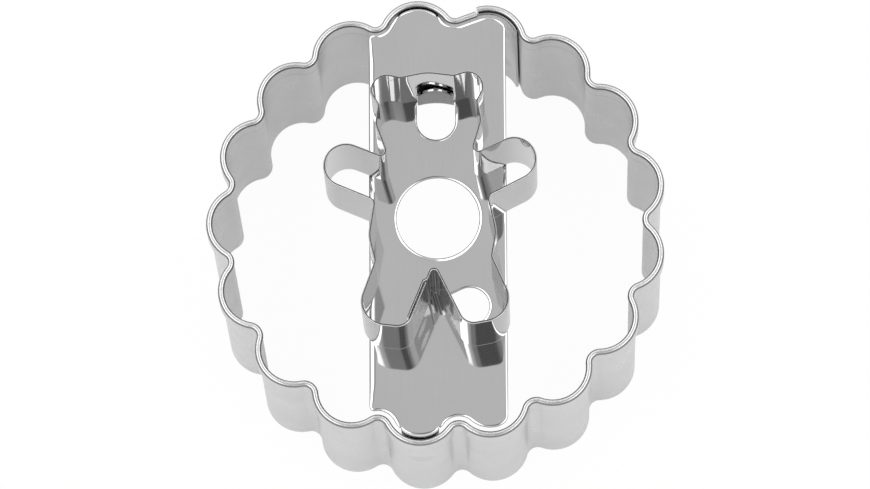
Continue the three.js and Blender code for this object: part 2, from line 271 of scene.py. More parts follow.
def bends(pins, first=None, last=None):
    """Stations (place on the pin line, heading) along a strip bent round pins, one list for each pin."""
    runs = [heading_between(a, b) for a, b in zip(pins, pins[1:])]
    arrivals = [runs[0] if first is None else first] + runs
    leavings = runs + [runs[-1] if last is None else last]
    path = []
    for (x, y, bend), start, end in zip(pins, arrivals, leavings):
        side = 0 if bend == 0 else math.copysign(1, bend)
        turn = (side * (end - start) + TURN_SLACK) % (2 * math.pi) - TURN_SLACK
        turn = max(turn, 0) if side else 0
        steps = math.ceil(turn / BEND_STEP - 1e-6)
        headings = [start + side * turn * i / max(steps, 1) for i in range(steps + 1)]
        path.append([(Vector((x, y)) + right_of(h) * bend, h) for h in headings])
    return path


def section(station, outline, lean=None):
    """Corners of a strip's section at a station. The outline's u runs to the right of the heading, and lean
    tilts the normals."""
    place, heading = station
    out = right_of(heading).to_3d()
    row = []
    for u, z, nu, nz in outline:
        tip = lean(place, z) if lean else 0
        c, s = math.cos(tip), math.sin(tip)
        normal = out * (nu * c + nz * s) + UP * (nz * c - nu * s)
        row.append((place.to_3d() + out * u + UP * z, normal))
    return row


def end_face(solid, station, outline, forward):
    """Closes a strip at its first or last station."""
    heading = station[1]
    along = Vector((math.cos(heading), math.sin(heading), 0)) * (1 if forward else -1)
    corners = [(p, along) for p, _ in section(station, outline)]
    solid.face(corners if not forward else corners[::-1])


# Ring.

def crest_pin(i, inset=0.0):
    angle = REAR_ANGLE + i * 2 * math.pi / SCALLOPS
    radius = CREST_RADIUS - SCALLOP + OVAL * math.cos(2 * (angle - OVAL_ANGLE))
    return (radius * math.cos(angle), radius * math.sin(angle), SCALLOP - inset)


def valley_pin(i):
    a, b = Vector(crest_pin(i)[:2]), Vector(crest_pin(i + 1)[:2])
    along = b - a
    out = math.sqrt((SCALLOP + VALLEY) ** 2 - (along.length / 2) ** 2)
    place = (a + b) / 2 + Vector((along.y, -along.x)).normalized() * out
    return (place.x, place.y, -VALLEY)


lap_inset = RING_SHEET + RING_LAP_GAP
lap_pin = crest_pin(-1, lap_inset)
ring_pins = [lap_pin, valley_pin(-1)]
for number in range(SCALLOPS):
    ring_pins += [crest_pin(number), valley_pin(number)]
ring_pins.pop()
butt_heading = heading_between(lap_pin, ring_pins[1])
lap_start = butt_heading - LAP_LENGTH / lap_pin[2]
strip_end = butt_heading - BUTT_GAP / SCALLOP


def make_ring(material):
    hem_bottom = RIM_TOP - HEM_HEIGHT
    across = RING_SHEET + HEM_THICKNESS
    crown = across / 2
    hemmed = rounded([
        (0, 0, RING_EDGE_ROUND), (RING_SHEET, 0, RING_EDGE_ROUND),
        (RING_SHEET, hem_bottom, HEM_ROOT_ROUND), (across, hem_bottom, HEM_EDGE_ROUND),
        (across, RIM_TOP, crown), (-BEAD, RIM_TOP, crown),
        (-BEAD, RIM_TOP - BEAD_TAPER[0], BEAD_ROUND), (0, RIM_TOP - BEAD_TAPER[1], BEAD_ROUND),
    ], RIM_STEPS)
    crown = RING_SHEET / 2
    plain = rounded([
        (0, 0, RING_EDGE_ROUND), (RING_SHEET, 0, RING_EDGE_ROUND),
        (RING_SHEET, LAP_TOP, crown), (0, LAP_TOP, crown),
    ], RIM_STEPS)
    # The plain outline gets as many points as the hemmed one, so that the step between them can be closed.
    each = RIM_STEPS + 1
    beside_hem = [(RING_SHEET, z, 1, 0) for _, z, _, _ in hemmed[2 * each:3 * each]]
    beside_hem += [(RING_SHEET, hem_bottom + HEM_STEP * k, 1, 0) for k in range(1, each + 1)]
    below_bead = [(0, z, -1, 0) for _, z, _, _ in hemmed[6 * each:]]
    plain = plain[:2 * each] + beside_hem + plain[2 * each:] + below_bead
    path = bends(ring_pins, lap_start, strip_end)
    under = path[0]
    rest = [station for bend in path[1:] for station in bend]
    solid = Solid()
    solid.rows([section(s, plain) for s in reversed(under)], True)
    step = Vector((-math.cos(butt_heading), -math.sin(butt_heading), 0))
    step_rows = [[(p, step) for p, _ in section(under[-1], outline)] for outline in (hemmed, plain)]
    solid.rows(step_rows, True)
    solid.rows([section(s, hemmed) for s in reversed([under[-1]] + rest)], True)
    end_face(solid, under[0], plain, False)
    end_face(solid, rest[-1], hemmed, True)
    solid.make("ring_strip", material, "scalloped_ring")


# Bear.

def on_plate(pin):
    x, y, turn = BEAR_PLACE
    c, s = math.cos(turn), math.sin(turn)
    return (x + c * pin[0] - s * pin[1], y + s * pin[0] + c * pin[1], pin[2])


left_side = [(-x, y, bend) for x, y, bend in reversed(RIGHT_SIDE)]
bear_round = [on_plate(pin) for pin in [CROTCH, *RIGHT_SIDE, CROWN, *left_side]]
thigh_heading = heading_between(bear_round[-1], bear_round[0])
thigh_top = Vector(bear_round[0][:2]) + right_of(thigh_heading) * bear_round[0][2]


def thigh_pin(down, into, bend):
    """A pin beside the thigh's inner wall: down from the crotch, and into the figure."""
    along = Vector((math.cos(thigh_heading), math.sin(thigh_heading)))
    place = thigh_top - along * down + Vector((-along.y, along.x)) * into
    return (place.x, place.y, bend)


bear_lap_step = BEAR_SHEET + BEAR_LAP_GAP
bear_pins = [
    thigh_pin(BEAR_LAP_FROM_CROTCH + BEAR_LAP_LENGTH, bear_lap_step, 0),
    thigh_pin(BEAR_LAP_FROM_CROTCH, bear_lap_step - BEAR_JOG_BEND, -BEAR_JOG_BEND),
    thigh_pin(BEAR_LAP_FROM_CROTCH - BEAR_JOG_LENGTH, BEAR_JOG_BEND, BEAR_JOG_BEND),
    *bear_round,
    thigh_pin(BEAR_LAP_FROM_CROTCH, 0, 0),
]


def bear_lean(place, z):
    """How far the strip's normals are tilted as if it leant outwards here."""
    up = (z - RIM_TOP) / (BEAR_TOP - RIM_TOP)
    tip = 0.0
    for middle, reach, low, top in LEANS:
        near = max(0.0, 1 - (Vector(place) - Vector(middle)).length / reach)
        tip += near * near * (3 - 2 * near) * (low + (top - low) * up)
    return math.radians(tip)


def with_straights(path):
    """The path with stations added along its straight runs, so that a lean follows them too."""
    filled = path[:1]
    for (a, _), (b, heading) in zip(path, path[1:]):
        count = max(round((b - a).length / STRAIGHT_STEP), 1)
        filled += [(a.lerp(b, k / count), heading) for k in range(1, count)]
        filled.append((b, heading))
    return filled


def make_bear(material):
    half = BEAR_SHEET / 2
    outline = rounded([
        (-half, RIM_TOP, BEAR_FOOT_ROUND), (half, RIM_TOP, BEAR_FOOT_ROUND),
        (half, BEAR_TOP, BEAR_OUTER_ROUND), (-half, BEAR_TOP, BEAR_INNER_ROUND),
    ], BEAR_EDGE_STEPS)
    path = with_straights([station for bend in bends(bear_pins) for station in bend])
    solid = Solid()
    solid.rows([section(s, outline, bear_lean) for s in reversed(path)], True)
    end_face(solid, path[0], outline, False)
    end_face(solid, path[-1], outline, True)
    solid.make("bear_strip", material, "bear_cutter")


# Plate.

FRONT_SCALLOP = SCALLOPS // 2
rear_pin = crest_pin(0)
front_pin = crest_pin(FRONT_SCALLOP)
end_half = END_TAB_WIDTH / 2
end_tab_radius = SCALLOP - GAP
end_edge = [end_half - e for e in END_EDGE_INSETS]
end_inner = end_half - END_EDGE_INSETS[-1]
end_middle = [end_inner * (1 - k / END_MIDDLE_STEPS) for k in range(1, 2 * END_MIDDLE_STEPS)]
end_columns = end_edge + end_middle + [-e for e in reversed(end_edge)]

# How far beside and behind an end tab's root the plate's end is cut away for it.
TAB_CUT_ASIDE = 0.08
TAB_CUT_BEHIND = 0.3


def end_root(x, pin):
    """Where an end tab's bend starts, from its scallop's centre: a curve along the ring."""
    return math.sqrt(end_tab_radius ** 2 - x * x) - (REAR_BEND if pin[1] > 0 else FRONT_BEND)


def end_curve(numbers, pin, gap):
    """The plate's end, right to left as seen from that end, parallel to the ring, cut at the tab's root."""
    pins = [valley_pin(numbers[0] - 1)]
    for i in numbers:
        pins += [crest_pin(i, lap_inset if i % SCALLOPS == SCALLOPS - 1 else 0), valley_pin(i)]
    side = math.copysign(1, pin[1])
    places = [p - right_of(h) * gap for bend in bends(pins) for p, h in bend]
    half = PLATE_WIDTH / 2
    kept = []
    for a, b in zip(places, places[1:]):
        for edge in (PLATE_X - half, PLATE_X + half):
            if (a.x - edge) * (b.x - edge) < 0:
                kept.append(a.lerp(b, (edge - a.x) / (b.x - a.x)))
        if abs(b.x - PLATE_X) < half:
            kept.append(b)
    kept = kept[:1] + [b for a, b in zip(kept, kept[1:]) if (b - a).length > SHORTEST_RUN]
    aside = end_half + TAB_CUT_ASIDE
    behind = end_root(end_half, pin) - TAB_CUT_BEHIND
    near_tab = [abs(p.x - pin[0]) < aside and side * (p.y - pin[1]) > behind for p in kept]
    first = near_tab.index(True)
    last = len(kept) - near_tab[::-1].index(True)
    roots = [Vector((pin[0] + side * x, pin[1] + side * end_root(x, pin))) for x in end_columns]
    return kept[:first], roots, kept[last:]


def soft_corner(before, corner, after):
    """A sharp corner of the plate, rounded off between two points of its outline."""
    a = corner + (before - corner).normalized() * PLATE_CORNER
    b = corner + (after - corner).normalized() * PLATE_CORNER
    points = []
    for i in range(PLATE_CORNER_STEPS + 1):
        k = i / PLATE_CORNER_STEPS
        share = END_ROLL * (1 - CORNER_ROLL_LOSS * math.sin(math.pi * k))
        points.append((a.lerp(corner, k).lerp(corner.lerp(b, k), k), share, False))
    return points


def trimmed(curve, corner):
    return [p for p in curve if (p - corner).length > PLATE_CORNER * PLATE_CORNER_MARGIN]


def faded(curve, root):
    """An end's edge, its roll fading out towards the tab's root."""
    return [(p, END_ROLL * min((p - root).length / ROLL_FADE, 1.0), False) for p in curve]


def plate_outline():
    """Counter-clockwise (place, share of the edge roll, the next run is a tab's root)."""
    rear = end_curve([SCALLOPS - 2, SCALLOPS - 1, 0, 1], rear_pin, REAR_GAP)
    front = end_curve([FRONT_SCALLOP + i for i in range(-1, 3)], front_pin, FRONT_GAP)
    loop = []
    for (right, roots, left), other, roll in ((rear, front, LEFT_ROLL), (front, rear, RIGHT_ROLL)):
        first, last = right[0], left[-1]
        right, left = trimmed(right, first), trimmed(left, last)
        loop += soft_corner(other[2][-1], first, right[0])
        loop += faded(right, roots[0])
        loop += [(p, 0.0, p != roots[-1]) for p in roots]
        loop += faded(left, roots[-1])
        loop += soft_corner(left[-1], last, other[0][0])
        loop += [(last.lerp(other[0][0], k), roll, False) for k in PLATE_SIDE_STATIONS]
    return loop


def wall_place(point, heading):
    """Rotation and place of a lanced tab: x along the wall behind it, y towards that wall."""
    return Matrix.Translation(Vector(point).to_3d()) @ Matrix.Rotation(heading + math.pi, 4, "Z")


def bowed(x, bow):
    """How far a lanced tab that follows a round wall stands further back than its sides."""
    return math.sqrt(bow ** 2 - x * x) - math.sqrt(bow ** 2 - (LANCED_WIDTH / 2) ** 2)


def window_outline(place, bow):
    """The window that a lanced tab leaves in the plate, clockwise."""
    half = LANCED_WIDTH / 2
    wide = half + LANCED_SLIT
    low = PLATE_SHEET + LANCED_HEIGHT + LANCED_SLIT - wide
    shape = []
    for k in range(TAB_STEPS + 1):
        x = half * (2 * k / TAB_STEPS - 1)
        shape.append(((x, LANCED_BEND + bowed(x, bow)), 0.0, k < TAB_STEPS))
    shape += [((wide, LANCED_BEND), 0.0, False), ((wide, -WINDOW_ROLL_START), WINDOW_ROLL, False)]
    for k in range(WINDOW_STEPS + 1):
        angle = -math.pi * k / WINDOW_STEPS
        shape.append(((wide * math.cos(angle), -low + wide * math.sin(angle)), WINDOW_ROLL, False))
    shape += [((-wide, -WINDOW_ROLL_START), WINDOW_ROLL, False), ((-wide, LANCED_BEND), 0.0, False)]
    return [((place @ Vector((x, y, 0))).to_2d(), share, root) for (x, y), share, root in shape]


def hole_outline():
    x, y, radius = HOLE
    turns = [-2 * math.pi * k / HOLE_STEPS for k in range(HOLE_STEPS)]
    return [(Vector((x + radius * math.cos(a), y + radius * math.sin(a))), HOLE_ROLL, False) for a in turns]


def plate_normal(place):
    """The plate's upper face isn't quite flat: it dips towards the head's wall and waves a little."""
    x, y = place[0], place[1]
    rise = min(max((y - HEAD_DIP_START) / HEAD_DIP_LENGTH, 0), 1)
    towards = -HEAD_DIP * rise * rise * (3 - 2 * rise) + WAVE * math.sin(y * WAVE_ALONG[0] + WAVE_ALONG[1])
    aside = WAVE * math.sin(x * WAVE_ACROSS[0] + y * WAVE_ACROSS[1]) - TWIST * (1 - TWIST_LOSS * rise)
    return Vector((aside, towards, 1)).normalized()


def edge_rows(loop):
    """Rows down the plate's edge along a loop, from the flat top over the roll to the flat underside."""
    levels = []
    fallen = 0.0
    for (inset, tilt), last in zip(ROLL, ROLL[:1] + ROLL):
        mean = math.radians((tilt + last[1]) / 2)
        fallen += (last[0] - inset) * math.tan(mean)
        levels.append((inset, fallen, math.radians(tilt)))
    under = []
    for k in range(BURR_STEPS + 1):
        tilt = math.pi / 2 * (1 + k / BURR_STEPS)
        under.append((BURR * (1 - math.sin(tilt)), BURR * (1 + math.cos(tilt)), tilt))
    rows = []
    for i, (place, share, _) in enumerate(loop):
        before, after = loop[i - 1][0], loop[(i + 1) % len(loop)][0]
        a, b = (place - before).normalized(), (after - place).normalized()
        along = (a + b).normalized()
        out = Vector((along.y, -along.x))
        stretch = 1 / max(out.dot(Vector((a.y, -a.x))), SHARPEST_CORNER)
        row = []
        for inset, drop, tilt in levels:
            level = place - out * inset * share * stretch
            normal = out.to_3d() * math.sin(tilt) + plate_normal(level) * math.cos(tilt)
            row.append((level.to_3d() + UP * (RIM_TOP - drop * share), normal))
        for inset, rise, tilt in under:
            level = place - out * inset * share
            height = RIM_TOP - PLATE_SHEET + rise * share
            row.append((level.to_3d() + UP * height, out.to_3d() * math.sin(tilt) + UP * math.cos(tilt)))
        rows.append(row)
    return rows


def inside(point, loops):
    """Whether a point is in the plate, by counting the loops' edges to its right."""
    x, y = point
    odd = False
    for loop in loops:
        for a, b in zip(loop, loop[1:] + loop[:1]):
            if (a[1] > y) != (b[1] > y) and x < a[0] + (b[0] - a[0]) * (y - a[1]) / (b[1] - a[1]):
                odd = not odd
    return odd


def flat_side(solid, loops, up):
    """Fills the plate's top or underside between its loops of places."""
    flat = [p.to_2d() for loop in loops for p in loop]
    edges = []
    for loop in loops:
        start = len(edges)
        edges += [(start + i, start + (i + 1) % len(loop)) for i in range(len(loop))]
    height = loops[0][0].z
    outlines = [[(p.x, p.y) for p in loop] for loop in loops]
    rim = list(flat)
    columns = math.ceil(PLATE_WIDTH / 2 / PLATE_GRID)
    lines = math.ceil(CREST_RADIUS / PLATE_GRID)
    for i in range(-columns, columns + 1):
        for j in range(-lines, lines + 1):
            spot = Vector((PLATE_X + i * PLATE_GRID, j * PLATE_GRID))
            clearance = PLATE_GRID * PLATE_GRID_CLEARANCE
            if inside(spot, outlines) and min((p - spot).length for p in rim) > clearance:
                flat.append(spot)
    filled = delaunay_2d_cdt(flat, edges, [], 0, 1e-7)
    for face in filled[2]:
        corners = [filled[0][i] for i in face]
        middle = sum(corners, Vector((0, 0))) / len(corners)
        if inside(middle, outlines):
            ring = [(p.to_3d() + UP * height, plate_normal(p) if up else -UP) for p in corners]
            solid.face(ring if up else ring[::-1])


def grid_normals(grid):
    """Normals of a grid of places, from its neighbours. Rows run down, and across is to the right of them."""
    normals = []
    for i, row in enumerate(grid):
        line = []
        for j in range(len(row)):
            across = row[min(j + 1, len(row) - 1)] - row[max(j - 1, 0)]
            down = grid[min(i + 1, len(grid) - 1)][j] - grid[max(i - 1, 0)][j]
            line.append(down.cross(across).normalized())
        normals.append(line)
    return normals


def add_end_tab(solid, pin):
    """The plate's end bent down along a curve beside the ring, its blade following the scallop."""
    side = math.copysign(1, pin[1])
    columns = end_columns[::-1]
    foot = RIM_TOP - END_TAB_LENGTH

    def point(x, level, depth, roll):
        """level 0 to 1 goes round the bend, 1 to 2 down the blade; depth is into the sheet."""
        root = end_root(x, pin)
        bend = math.sqrt(end_tab_radius ** 2 - x * x) - root
        angle = min(level, 1.0) * math.pi / 2
        from_edge = end_half - abs(x)
        fallen = 0.0
        if roll and from_edge < TAB_ROLL:
            fallen = roll * (TAB_ROLL - from_edge) ** 2 / (2 * TAB_ROLL_RADIUS)
            fallen += roll * max(TAB_BREAK - from_edge, 0) * TAB_BREAK_SLOPE
        radius = bend - depth - fallen
        y = root + radius * math.sin(angle)
        z = RIM_TOP - bend + radius * math.cos(angle)
        past = abs(x) - (end_half - END_TAB_CORNER)
        bottom = foot
        if past > 0:
            bottom += END_TAB_CORNER - math.sqrt(max(END_TAB_CORNER ** 2 - past ** 2, 0))
        if level > 1:
            z += (bottom - z) * (level - 1)
        return Vector((pin[0] + side * x, pin[1] + side * y, z))

    levels = [k / END_BEND_STEPS for k in range(END_BEND_STEPS + 1)]
    levels += [1 + k / END_BLADE_STEPS for k in range(1, END_BLADE_STEPS + 1)]
    outer = [[point(x, v, 0, min(v * TAB_ROLL_GROWTH, 1)) for x in columns] for v in levels]
    inner = [[point(x, v, PLATE_SHEET, 0) for x in columns] for v in levels]
    outer_normals = [[-n for n in row] for row in grid_normals(outer)]
    inner_normals = grid_normals(inner)
    outer_normals[0] = [plate_normal(p) for p in outer[0]]
    inner_normals[0] = [-UP] * len(columns)
    outside = [list(zip(p, n)) for p, n in zip(outer, outer_normals)]
    within = [list(zip(p, n)) for p, n in zip(inner, inner_normals)]
    solid.rows(outside)
    solid.rows([row[::-1] for row in within])
    for j, direction in ((0, -side), (-1, side)):
        sideways = Vector((direction, 0, 0))
        pair = [[(row[j], sideways) for row in grid] for grid in (outer, inner)]
        solid.rows(pair if j == 0 else pair[::-1])
    ends = [[(p, -UP) for p in grid[-1]] for grid in (outer, inner)]
    solid.rows(ends)


def lanced_outline(width, radius):
    """Section across a lanced tab, as (x, depth into the sheet, normal x, normal depth)."""
    outline = rounded([
        (-width, 0, radius), (width, 0, radius),
        (width, PLATE_SHEET, radius), (-width, PLATE_SHEET, radius),
    ], LANCED_EDGE_STEPS)
    across = [(width - radius) * (2 * k / TAB_STEPS - 1) for k in range(1, TAB_STEPS)]
    front = [(x, 0, 0, -1) for x in across]
    behind = [(-x, PLATE_SHEET, 0, 1) for x in across]
    each = LANCED_EDGE_STEPS + 1
    return outline[:each] + front + outline[each:3 * each] + behind + outline[3 * each:]


def add_lanced_tab(solid, place, bow, tall):
    """A round-ended tab bent up out of the plate, its section swept up from the root."""
    half = LANCED_WIDTH / 2
    upright = math.pi / 2
    steps = []
    for k in range(LANCED_BEND_STEPS + 1):
        grown = min(k / LANCED_ROUND_GROWTH, 1)
        steps.append((upright * k / LANCED_BEND_STEPS, LANCED_BEND, half, 0.0, grown))
    middle = tall - half
    for k in range(LANCED_TOP_STEPS + 1):
        turn = LANCED_TOP_TURN * k / LANCED_TOP_STEPS
        steps.append((upright, middle + half * math.sin(turn), half * math.cos(turn), turn, 1))
    rows = []
    for angle, height, width, turn, grown in steps:
        radius = min(LANCED_EDGE_ROUND * grown, width / 2)
        sideways = Vector((math.cos(turn), 0, math.sin(turn)))
        deep = Vector((0, -math.sin(angle), -math.cos(angle)))
        row = []
        for x, d, nx, nd in lanced_outline(width, radius):
            y = LANCED_BEND - (LANCED_BEND + d) * math.sin(angle)
            z = LANCED_BEND - (LANCED_BEND + d) * math.cos(angle)
            if angle >= upright - 1e-9:
                z = height
            aside = Vector((sideways.x * math.copysign(1, x), 0, sideways.z))
            normal = Matrix.Rotation(-math.asin(x / bow), 3, "Z") @ (aside * abs(nx) + deep * nd)
            y += bowed(x, bow)
            spot = place @ Vector((x, y, z)) + UP * RIM_TOP
            row.append((spot, place.to_3x3() @ normal))
        rows.append(row)
    solid.rows(rows[::-1], True)
    solid.face([(p, UP) for p, _ in rows[-1]][::-1])


def head_wall(left, right):
    """Lowest place of the head's inner face between two places across the plate."""
    crown = 1 + len(RIGHT_SIDE)
    pins = bear_round[crown - 3:crown + 3]
    heights = []
    places = [p - right_of(h) * BEAR_SHEET / 2 for bend in bends(pins) for p, h in bend]
    for a, b in zip(places, places[1:]):
        for x in (left, right):
            if (a.x - x) * (b.x - x) <= 0 and a.x != b.x:
                heights.append(a.y + (b.y - a.y) * (x - a.x) / (b.x - a.x))
        heights += [p.y for p in (a, b) if left < p.x < right]
    return min(heights)


head_place = wall_place((0, head_wall(-LANCED_WIDTH / 2, LANCED_WIDTH / 2) - GAP), math.pi)
leg_heading = heading_between(bear_round[0], bear_round[1])
leg_ends = [
    Vector(pin[:2]) + right_of(leg_heading) * (pin[2] - BEAR_SHEET / 2 - GAP) for pin in bear_round[:2]
]
leg_place = wall_place((leg_ends[0] + leg_ends[1]) / 2, leg_heading)


def make_plate(material):
    loops = [plate_outline(), hole_outline()]
    loops += [window_outline(head_place, HEAD_BOW), window_outline(leg_place, LEG_BOW)]
    solid = Solid()
    tops, undersides = [], []
    for loop in loops:
        rows = edge_rows(loop)
        for i, row in enumerate(rows):
            after = rows[(i + 1) % len(rows)]
            if not loop[i][2]:
                solid.rows([row, after])
        tops.append([row[0][0] for row in rows])
        undersides.append([row[-1][0] for row in rows])
    add_end_tab(solid, rear_pin)
    add_end_tab(solid, front_pin)
    add_lanced_tab(solid, head_place, HEAD_BOW, HEAD_TAB_HEIGHT)
    add_lanced_tab(solid, leg_place, LEG_BOW, LANCED_HEIGHT)
    flat_side(solid, tops, True)
    flat_side(solid, undersides, False)
    solid.make("plate_sheet", material, "bridge_plate")


# The head weld's depth into the tab and into the wall, its edge, and the share of its radius at the ends.
WELD_INTO_TAB = 0.04
WELD_INTO_WALL = 0.17
WELD_EDGE = 0.04
WELD_END_SHARE = 0.96


def make_head_weld(material):
    """The nugget that joins the bowed head tab to the bear's wall."""
    low, high = [Vector(corner) * MM_PER_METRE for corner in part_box("head_tab_weld")]
    middle = (low + high) / 2 - Vector((RING_AXIS.x, RING_AXIS.y, 0))
    radius = (high.z - low.z) / 2
    front_y = head_place.translation.y + bowed(radius, HEAD_BOW) - WELD_INTO_TAB
    back_y = head_wall(middle.x - radius, middle.x + radius) + WELD_INTO_WALL
    profile = [
        (back_y, WELD_END_SHARE), (back_y - WELD_EDGE, 1),
        (front_y + WELD_EDGE, 1), (front_y, WELD_END_SHARE),
    ]
    rows = []
    for y, share in profile:
        row = []
        for k in range(WELD_STEPS):
            angle = 2 * math.pi * k / WELD_STEPS
            out = Vector((math.cos(angle), 0, math.sin(angle)))
            spot = Vector((middle.x, y, middle.z)) + out * radius * share
            row.append((spot, out))
        rows.append(row)
    solid = Solid()
    solid.rows(rows, True)
    solid.face([(p, Vector((0, 1, 0))) for p, _ in rows[0][::-1]])
    solid.face([(p, Vector((0, -1, 0))) for p, _ in rows[-1]])
    solid.make("head_weld", material, "head_tab_weld")


# Materials.

# Unevenness of rolled sheet: (features per metre, detail), and weights on tone, roughness and bump.
STAIN = ((110, 110, 110), 4)
HAZE = ((260, 260, 260), 5)
SPECK = ((2600, 2600, 2600), 2)
STREAK_DETAIL = 3
STREAK_TONE = 0.03
STAIN_TONE = 0.06
SPECK_TONE = 0.008
STREAK_ROUGH = 0.25
HAZE_ROUGH = 0.6
SPECK_ROUGH = 0.2
SPECK_BUMP = 0.15
BUMP_DEPTH = 0.00001
SEED_STEP = (7.3, 3.1, 5.7)

# Where marks and the tab faces' painted shade begin and end: parts of a normal, heights in millimetres, and a
# weld mark's radius in metres.
CUT_EDGE_LEVEL = (0.92, 0.98)
CUT_EDGE_DEPTHS = (0.5, 0.2)
TAB_FACE_ALONG = (0.8, 0.88)
TAB_FACE_HEIGHTS = (0.05, 0.35)
WELD_MARK = 0.0013
WELD_MARK_SOFT = 0.00025
NO_LOWER_END = -1


def math_node(tree, operation, a, b=None, clamp=False):
    node = tree.nodes.new("ShaderNodeMath")
    node.operation = operation
    node.use_clamp = clamp
    for socket, value in zip(node.inputs, (a, b)):
        if hasattr(value, "is_linked"):
            tree.links.new(value, socket)
        elif value is not None:
            socket.default_value = value
    return node.outputs[0]


def parts_of(tree, vector):
    """The X, Y and Z of a vector."""
    node = tree.nodes.new("ShaderNodeSeparateXYZ")
    tree.links.new(vector, node.inputs[0])
    return node.outputs


def ramp(tree, value, start, end, low=0.0, high=1.0):
    """A smooth change from low to high between two values."""
    node = tree.nodes.new("ShaderNodeMapRange")
    node.interpolation_type = "SMOOTHSTEP"
    tree.links.new(value, node.inputs["Value"])
    for socket, number in zip(node.inputs[1:5], (start, end, low, high)):
        socket.default_value = number
    return node.outputs[0]


def band(tree, value, low, high, soft):
    """A smooth mask that is 1 between two values."""
    rise = ramp(tree, value, low - soft, low + soft)
    fall = ramp(tree, value, high + soft, high - soft)
    return math_node(tree, "MULTIPLY", rise, fall)


def distance_to(tree, vector, place):
    node = tree.nodes.new("ShaderNodeVectorMath")
    node.operation = "DISTANCE"
    tree.links.new(vector, node.inputs[0])
    node.inputs[1].default_value = place
    return node.outputs["Value"]


def noise(tree, vector, scales, detail, seed):
    """Noise about 0, stretched by its three scales in features per metre."""
    stretch = tree.nodes.new("ShaderNodeMapping")
    stretch.inputs["Location"].default_value = [seed * step for step in SEED_STEP]
    stretch.inputs["Scale"].default_value = scales
    tree.links.new(vector, stretch.inputs["Vector"])
    node = tree.nodes.new("ShaderNodeTexNoise")
    node.inputs["Scale"].default_value = 1.0
    node.inputs["Detail"].default_value = detail
    tree.links.new(stretch.outputs[0], node.inputs["Vector"])
    return math_node(tree, "SUBTRACT", node.outputs[0], 0.5)


def total(tree, start, *terms):
    """start plus each value times its weight."""
    value = start
    for term, weight in terms:
        value = math_node(tree, "ADD", math_node(tree, "MULTIPLY", term, weight), value)
    return value


def steel(name, seed, tone, roughness, grain, relief, marks_and_shade=()):
    """Rolled sheet: streaks along its grain, broad stains, fine specks, and marks and painted shade as (mask,
    change of tone, change of roughness)."""
    material = bpy.data.materials.new(name)
    material.use_nodes = True
    tree = material.node_tree
    shader = tree.nodes["Principled BSDF"]
    shader.inputs["Metallic"].default_value = 1.0
    place = tree.nodes.new("ShaderNodeTexCoord").outputs["Object"]
    streak = noise(tree, place, grain, STREAK_DETAIL, seed)
    stain = noise(tree, place, *STAIN, seed + 1)
    haze = noise(tree, place, *HAZE, seed + 2)
    speck = noise(tree, place, *SPECK, seed + 3)
    colour = [(streak, STREAK_TONE), (stain, STAIN_TONE), (speck, SPECK_TONE)]
    weights = ((streak, STREAK_ROUGH), (haze, HAZE_ROUGH), (speck, SPECK_ROUGH))
    rough = [(value, weight * roughness) for value, weight in weights]
    for mask, shade, dull in marks_and_shade:
        value = mask(tree, place)
        colour.append((value, shade))
        rough.append((value, dull))
    tree.links.new(total(tree, tone, *colour), shader.inputs["Base Color"])
    tree.links.new(total(tree, roughness, *rough), shader.inputs["Roughness"])
    bump = tree.nodes.new("ShaderNodeBump")
    bump.inputs["Strength"].default_value = relief
    bump.inputs["Distance"].default_value = BUMP_DEPTH
    tree.links.new(total(tree, streak, (speck, SPECK_BUMP)), bump.inputs["Height"])
    tree.links.new(bump.outputs[0], shader.inputs["Normal"])
    return material


def between_heights(low, high, soft):
    return lambda tree, place: band(tree, parts_of(tree, place)["Z"], low * MM, high * MM, soft * MM)


def from_height(tree, place, start, end):
    return ramp(tree, parts_of(tree, place)["Z"], start * MM, end * MM)


def normal_parts(tree):
    return parts_of(tree, tree.nodes.new("ShaderNodeNewGeometry").outputs["Normal"])


def cut_edge(tree, place):
    """The sheared upper edge of the bear's strip, darker than its faces."""
    level = ramp(tree, normal_parts(tree)["Z"], *CUT_EDGE_LEVEL)
    high = from_height(tree, place, *[BEAR_TOP - depth for depth in CUT_EDGE_DEPTHS])
    return math_node(tree, "MULTIPLY", level, high)


def tab_face_shade(tree, place):
    """Painted shade on the head tab's faces above the plate, where the normal lies along the plate's length;
    they are also rougher.
    """
    along = ramp(tree, math_node(tree, "ABSOLUTE", normal_parts(tree)["Y"]), *TAB_FACE_ALONG)
    above = from_height(tree, place, *[RIM_TOP + height for height in TAB_FACE_HEIGHTS])
    return math_node(tree, "MULTIPLY", along, above)


def weld_marks(*names):
    """Round dull marks where the welding tips pressed on the sheet."""
    places = [sum((Vector(c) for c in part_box(name)), Vector()) / 2 for name in names]

    def mask(tree, place):
        value = 0.0
        for middle in places:
            off = distance_to(tree, place, middle)
            value = math_node(tree, "ADD", band(tree, off, NO_LOWER_END, WELD_MARK, WELD_MARK_SOFT), value)
        return value

    return mask


END_TAB_WELDS = ("rear_tab_weld", "front_tab_weld")
RING_SEAM_WELDS = ("ring_seam_weld_upper", "ring_seam_weld_lower")
BEAR_WELDS = ("head_tab_weld", "leg_tab_weld", "bear_seam_weld_upper", "bear_seam_weld_lower")
STRIP_GRAIN = (300, 300, 7000)
PLATE_GRAIN = (3000, 200, 200)
WELD_GRAIN = (1500, 1500, 1500)
